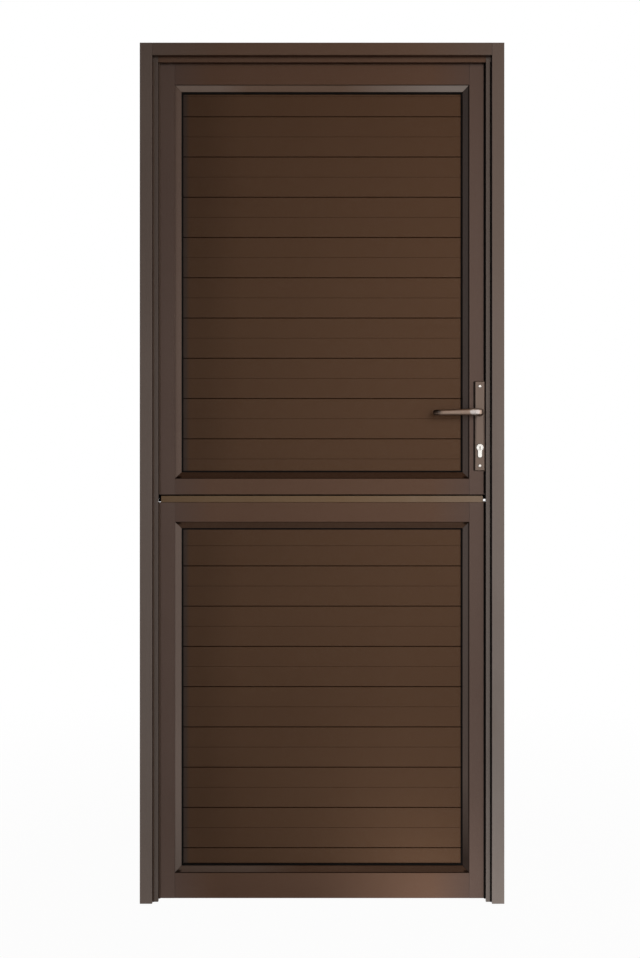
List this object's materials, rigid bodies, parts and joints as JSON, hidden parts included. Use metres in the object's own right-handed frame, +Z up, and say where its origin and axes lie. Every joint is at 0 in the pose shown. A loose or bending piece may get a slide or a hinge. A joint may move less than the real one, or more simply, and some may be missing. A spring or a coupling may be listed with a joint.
{
  "type": "dutch stable door",
  "caption": "Bronze stable door split into an upper and a lower leaf, boarded panels, lever lock, lift-off hinges and slide bolt, in its own frame.",
  "frame": {"origin": "under the middle of the frame at floor level, halfway through the thickness of the leaves", "axes": "+X to the lock side, +Y the way the leaves open, +Z up"},
  "size_m": [0.884, 0.153, 2.088],
  "materials": {
    "bronze_profile": "satin bronze powder coat",
    "bronze_board": "satin bronze coat on boards",
    "bronze_strip": "lighter golden bronze coat",
    "bronze_handle": "satin bronze lacquer",
    "bronze_fitting": "satin bronze coat",
    "mill_aluminium": "mill finish",
    "steel": "zinc plated",
    "nickel": "satin nickel",
    "black_rubber": "matte",
    "black_plastic": "matte"
  },
  "bodies": {
    "frame": {"hinge_jamb": "bronze_profile", "lock_jamb": "bronze_profile", "frame_head": "bronze_profile", "hinge_jamb_stop": "bronze_profile", "lock_jamb_stop": "bronze_profile", "head_stop": "bronze_profile", "head_spigots": "mill_aluminium", "stop_seals": "black_rubber", "frame_hinge_flags": "bronze_fitting", "hinge_pins": "steel", "strike_plate": "steel", "bolt_keep": "bronze_fitting"},
    "upper_leaf": {"upper_hinge_stile": "bronze_profile", "upper_lock_stile": "bronze_profile", "upper_top_rail": "bronze_profile", "upper_meeting_rail": "bronze_profile", "upper_spigots": "mill_aluminium", "upper_stile_plugs": "black_plastic", "upper_left_bead": "bronze_profile", "upper_right_bead": "bronze_profile", "upper_top_bead": "bronze_profile", "upper_bottom_bead": "bronze_profile", "upper_panel_boards": "bronze_board", "upper_front_gasket": "black_rubber", "upper_back_gasket": "black_rubber", "upper_hinge_flags": "bronze_fitting", "outside_backplate": "bronze_handle", "inside_backplate": "bronze_handle", "lock_case": "steel", "lock_faceplate": "steel", "lock_cylinder": "nickel"},
    "lower_leaf": {"lower_hinge_stile": "bronze_profile", "lower_lock_stile": "bronze_profile", "lower_meeting_rail": "bronze_profile", "lower_bottom_rail": "bronze_profile", "lower_spigots": "mill_aluminium", "lower_stile_plugs": "black_plastic", "lower_left_bead": "bronze_profile", "lower_right_bead": "bronze_profile", "lower_top_bead": "bronze_profile", "lower_bottom_bead": "bronze_profile", "lower_panel_boards": "bronze_board", "lower_front_gasket": "black_rubber", "lower_back_gasket": "black_rubber", "lower_hinge_flags": "bronze_fitting", "meeting_strip": "bronze_strip", "meeting_seal": "black_rubber", "bolt_housing": "bronze_fitting"},
    "lever": {"outside_lever": "bronze_handle", "inside_lever": "bronze_handle", "spindle": "steel", "lock_follower": "steel"},
    "latch": {"latch_bolt": "steel"},
    "plug": {"cylinder_plug": "nickel"},
    "dead_bolt": {"dead_bolt": "steel"},
    "slide_bolt": {"slide_bolt": "bronze_fitting"}
  },
  "joints": [
    {"name": "upper_leaf_swing", "type": "hinge", "parent": "frame", "child": "upper_leaf", "pos_m": [-0.41, 0.0305, 1.524], "axis": [0, 0, 1], "range_deg": [0, 165]},
    {"name": "lower_leaf_swing", "type": "hinge", "parent": "frame", "child": "lower_leaf", "pos_m": [-0.41, 0.0305, 0.489], "axis": [0, 0, 1], "range_deg": [0, 165]},
    {"name": "lever_turn", "type": "hinge", "parent": "upper_leaf", "child": "lever", "pos_m": [0.385, 0, 1.192], "axis": [0, -1, 0], "range_deg": [0, 35], "stiffness_Nm_per_rad": 1.6, "springref_deg": -22.92},
    {"name": "latch_slide", "type": "slide", "parent": "upper_leaf", "child": "latch", "axis": [-1, 0, 0], "range_m": [-0.01, 0]},
    {"name": "cylinder_turn", "type": "hinge", "parent": "upper_leaf", "child": "plug", "pos_m": [0.385, 0, 1.107], "axis": [0, 1, 0], "range_deg": [0, 360]},
    {"name": "dead_bolt_slide", "type": "slide", "parent": "upper_leaf", "child": "dead_bolt", "axis": [1, 0, 0], "range_m": [0, 0.02]},
    {"name": "slide_bolt_slide", "type": "slide", "parent": "lower_leaf", "child": "slide_bolt", "axis": [1, 0, 0], "range_m": [0, 0.028]}
  ],
  "couplings": [
    {"joint": "cylinder_turn", "follows": "dead_bolt_slide", "rad_per_m": 314.16}
  ]
}
